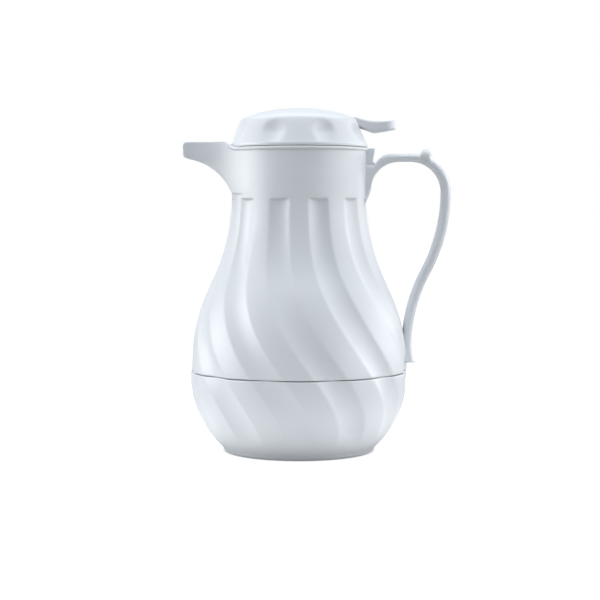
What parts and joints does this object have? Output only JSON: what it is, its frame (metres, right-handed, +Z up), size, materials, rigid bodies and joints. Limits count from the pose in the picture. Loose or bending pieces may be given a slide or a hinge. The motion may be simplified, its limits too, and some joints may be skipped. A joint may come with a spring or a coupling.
{
  "type": "thermal beverage server",
  "caption": "Foam-insulated white server with swirl flutes, open pouring spout, looped handle and a screw-in stopper lid whose thumb lever lifts a sprung valve.",
  "frame": {"origin": "middle of the round foot ring, in the plane where the server stands on the table", "axes": "+Z up along the body's axis, -X towards the spout, +X towards the handle and thumb lever, +Y away from the picture's viewer"},
  "size_m": [0.203, 0.1645, 0.26],
  "materials": {
    "white_casing": "satin",
    "white_lid": "satin",
    "white_liner": "gloss",
    "white_valve": "matte",
    "grey_rubber": "matte",
    "foam": "matte",
    "steel": "brushed"
  },
  "bodies": {
    "server": {"upper_casing": "white_casing", "lower_casing": "white_casing", "foam_fill_plug": "white_casing", "inner_liner": "white_liner", "neck_seal": "grey_rubber", "foam_insulation": "foam", "handle": "white_casing", "handle_screws": "steel"},
    "lid_seal": {"stopper_gasket": "grey_rubber"},
    "lid": {"lid_cover": "white_lid", "rim_gasket": "grey_rubber", "lid_deck": "white_lid", "deck_screws": "steel", "stopper_body": "white_lid", "stem_seal": "grey_rubber", "spring_washer": "steel", "valve_spring": "steel", "lever_pin": "steel"},
    "lever": {"thumb_lever": "white_lid"},
    "valve": {"valve_plunger": "white_valve", "valve_seal": "grey_rubber", "stem_cap": "white_valve"}
  },
  "joints": [
    {"name": "lid_rise", "type": "slide", "parent": "server", "child": "lid_seal", "axis": [0, 0, 1], "range_m": [0, 0.0645]},
    {"name": "lid_twist", "type": "hinge", "parent": "lid_seal", "child": "lid", "pos_m": [0, 0, 0.23], "axis": [0, 0, 1], "range_deg": [0, 720]},
    {"name": "lever_press", "type": "hinge", "parent": "lid", "child": "lever", "pos_m": [0.03, 0, 0.2455], "axis": [0, 1, 0], "range_deg": [0, 10], "stiffness_Nm_per_rad": 0.3, "springref_deg": -11.46},
    {"name": "valve_lift", "type": "slide", "parent": "lid", "child": "valve", "axis": [0, 0, 1], "range_m": [0, 0.0058], "deforming": ["valve_spring"]}
  ],
  "couplings": [
    {"joint": "lid_rise", "follows": "lid_twist", "m_per_rad": 0.005093},
    {"joint": "valve_lift", "follows": "lever_press", "m_per_rad": 0.0325}
  ]
}
